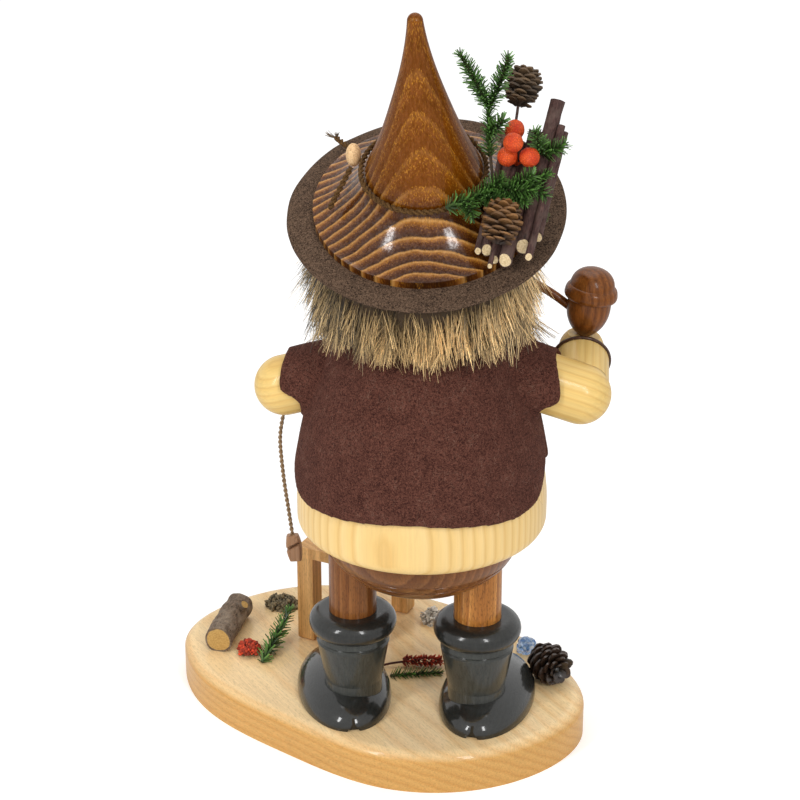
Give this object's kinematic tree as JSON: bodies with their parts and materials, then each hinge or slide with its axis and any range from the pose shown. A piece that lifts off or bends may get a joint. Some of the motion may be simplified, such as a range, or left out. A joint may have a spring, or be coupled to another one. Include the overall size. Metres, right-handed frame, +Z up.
{
  "type": "incense smoker figure",
  "caption": "Turned wooden incense smoker: a bearded gnome with tall hat, felt vest and pipe on an oval slab; the hollow body lifts off to light an incense cone.",
  "frame": {"origin": "on the underside of the slab, straight below the body's turning axis", "axes": "+Z up, the figure faces -Y, its pipe hand is at -X"},
  "size_m": [0.1921, 0.1603, 0.3327],
  "materials": {
    "base_wood": "oiled pale hardwood, satin",
    "black_stain": "black-stained turned wood, satin lacquer",
    "brown_stain": "brown-stained turned wood, satin lacquer",
    "body_wood": "pale turned wood, clear lacquer",
    "dark_ring": "dark-stained wood, satin",
    "ember_brass": "plain brass",
    "stool_wood": "honey-coloured wood, satin",
    "hat_wood": "brown-stained ash with open grain, glossy lacquer",
    "brim_felt": "dark grey-brown wool felt",
    "vest_felt": "dark reddish-brown wool felt, fuzzy",
    "fur": "long beige fur, dark at the roots",
    "cord": "twisted jute",
    "hat_cord": "dark olive twisted cord",
    "bead_wood": "bare cracked wood",
    "bark": "grey-brown bark with pale cut ends",
    "cone_scale": "dry brown cone",
    "berry": "orange-red knobbly berry",
    "needle": "dry fir needles",
    "moss": "dried moss and lichen",
    "pale_moss": "grey-white dried lichen",
    "flower": "dried red flower",
    "blue_glass": "translucent blue and white stone",
    "pipe_wood": "walnut-brown turned wood, satin",
    "whistle_wood": "pinkish-brown carved wood",
    "eye_paint": "black gloss"
  },
  "bodies": {
    "stand": {"base_plate": "base_wood", "left_shoe": "black_stain", "right_shoe": "black_stain", "left_boot_shaft": "black_stain", "right_boot_shaft": "black_stain", "left_leg": "brown_stain", "right_leg": "brown_stain", "trousers": "brown_stain", "ember_plate": "ember_brass", "stool_legs": "stool_wood", "stool_seat": "stool_wood", "log": "bark", "lichen_tuft": "moss", "pale_tuft": "pale_moss", "ground_sprig": "needle", "ground_flower": "flower", "spike_sprig": "needle", "spike_flower": "flower", "ground_cone": "cone_scale", "blue_stone": "blue_glass"},
    "upper_body": {"band_sprig": "needle", "beard": "fur", "berries": "berry", "eyes": "eye_paint", "hair": "fur", "hat": "hat_wood", "hat_bead": "bead_wood", "hat_brim": "brim_felt", "hat_cord": "hat_cord", "head": "body_wood", "left_cuff": "dark_ring", "left_forearm": "body_wood", "left_hand": "body_wood", "left_upper_arm": "body_wood", "lower_cone": "cone_scale", "moss_bed": "moss", "nose": "body_wood", "pipe_bowl": "pipe_wood", "pipe_stem": "pipe_wood", "right_cuff": "dark_ring", "right_forearm": "body_wood", "right_hand": "body_wood", "right_upper_arm": "body_wood", "small_sprig": "needle", "tall_sprig": "needle", "torso": "body_wood", "twig_bundle": "bark", "upper_cone": "cone_scale", "vest": "vest_felt"},
    "pendant": {"pendant_cord": "cord", "whistle": "whistle_wood"}
  },
  "joints": [
    {"name": "upper_body_lift", "type": "slide", "parent": "stand", "child": "upper_body", "axis": [0, 0, 1], "range_m": [0, 0.07]},
    {"name": "pendant_swing", "type": "hinge", "parent": "upper_body", "child": "pendant", "pos_m": [0.0613, -0.0244, 0.1457], "axis": [1, 0, 0], "range_deg": [-15, 15]}
  ]
}
